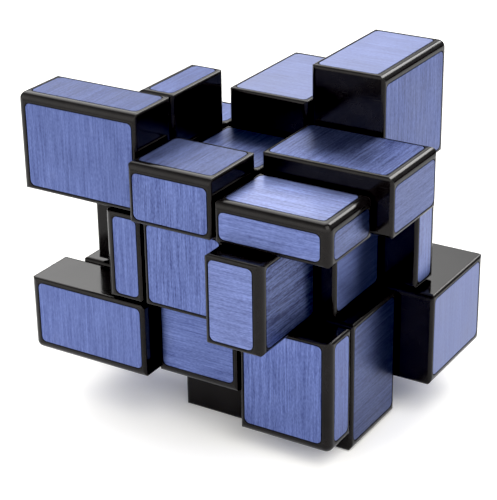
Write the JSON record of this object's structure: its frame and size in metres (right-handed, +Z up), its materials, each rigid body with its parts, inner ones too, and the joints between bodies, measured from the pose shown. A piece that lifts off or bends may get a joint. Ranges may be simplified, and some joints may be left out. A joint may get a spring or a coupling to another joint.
{
  "type": "twisty puzzle cube",
  "caption": "Hand-held twisty puzzle cube with unequal layers, scrambled to a stepped shape: foil-faced hollow blocks held by feet round a sprung core, with top and bottom layers that turn.",
  "frame": {"origin": "on the plane the cube stands on, straight below the core's centre", "axes": "+Z up along the axis the top and bottom layers turn about, +X towards the right-hand face, +Y from the front face to the back"},
  "size_m": [0.077, 0.069, 0.073],
  "materials": {
    "block_plastic": "glossy black",
    "foot_plastic": "satin black",
    "foil": "blue brushed foil",
    "core_plastic": "matt dark grey",
    "screw_steel": "zinc plated",
    "spring_steel": "drawn wire",
    "washer_steel": "plain"
  },
  "bodies": {
    "core_and_middle_slice": {"core": "core_plastic", "core_screws": "screw_steel", "core_springs": "spring_steel", "core_washers": "washer_steel", "front_left_block": "block_plastic", "front_left_foot": "foot_plastic", "front_right_block": "block_plastic", "front_right_foot": "foot_plastic", "back_right_block": "block_plastic", "back_right_foot": "foot_plastic", "back_left_block": "block_plastic", "back_left_foot": "foot_plastic", "front_centre_block": "block_plastic", "front_centre_hub": "foot_plastic", "back_centre_block": "block_plastic", "back_centre_hub": "foot_plastic", "right_centre_block": "block_plastic", "right_centre_hub": "foot_plastic", "left_centre_block": "block_plastic", "left_centre_hub": "foot_plastic", "middle_layer_foils": "foil"},
    "top_layer": {"top_front_left_block": "block_plastic", "top_front_left_foot": "foot_plastic", "top_front_right_block": "block_plastic", "top_front_right_foot": "foot_plastic", "top_back_right_block": "block_plastic", "top_back_right_foot": "foot_plastic", "top_back_left_block": "block_plastic", "top_back_left_foot": "foot_plastic", "top_front_block": "block_plastic", "top_front_foot": "foot_plastic", "top_right_block": "block_plastic", "top_right_foot": "foot_plastic", "top_back_block": "block_plastic", "top_back_foot": "foot_plastic", "top_left_block": "block_plastic", "top_left_foot": "foot_plastic", "top_centre_block": "block_plastic", "top_centre_hub": "foot_plastic", "top_layer_foils": "foil"},
    "bottom_layer": {"bottom_front_left_block": "block_plastic", "bottom_front_left_foot": "foot_plastic", "bottom_front_right_block": "block_plastic", "bottom_front_right_foot": "foot_plastic", "bottom_back_right_block": "block_plastic", "bottom_back_right_foot": "foot_plastic", "bottom_back_left_block": "block_plastic", "bottom_back_left_foot": "foot_plastic", "bottom_front_block": "block_plastic", "bottom_front_foot": "foot_plastic", "bottom_right_block": "block_plastic", "bottom_right_foot": "foot_plastic", "bottom_back_block": "block_plastic", "bottom_back_foot": "foot_plastic", "bottom_left_block": "block_plastic", "bottom_left_foot": "foot_plastic", "bottom_centre_block": "block_plastic", "bottom_centre_hub": "foot_plastic", "bottom_layer_foils": "foil"}
  },
  "joints": [
    {"name": "top_layer_turn", "type": "hinge", "parent": "core_and_middle_slice", "child": "top_layer", "pos_m": [0, 0, 0.0385], "axis": [0, 0, 1], "continuous": true},
    {"name": "bottom_layer_turn", "type": "hinge", "parent": "core_and_middle_slice", "child": "bottom_layer", "pos_m": [0, 0, 0.0385], "axis": [0, 0, 1], "continuous": true}
  ]
}
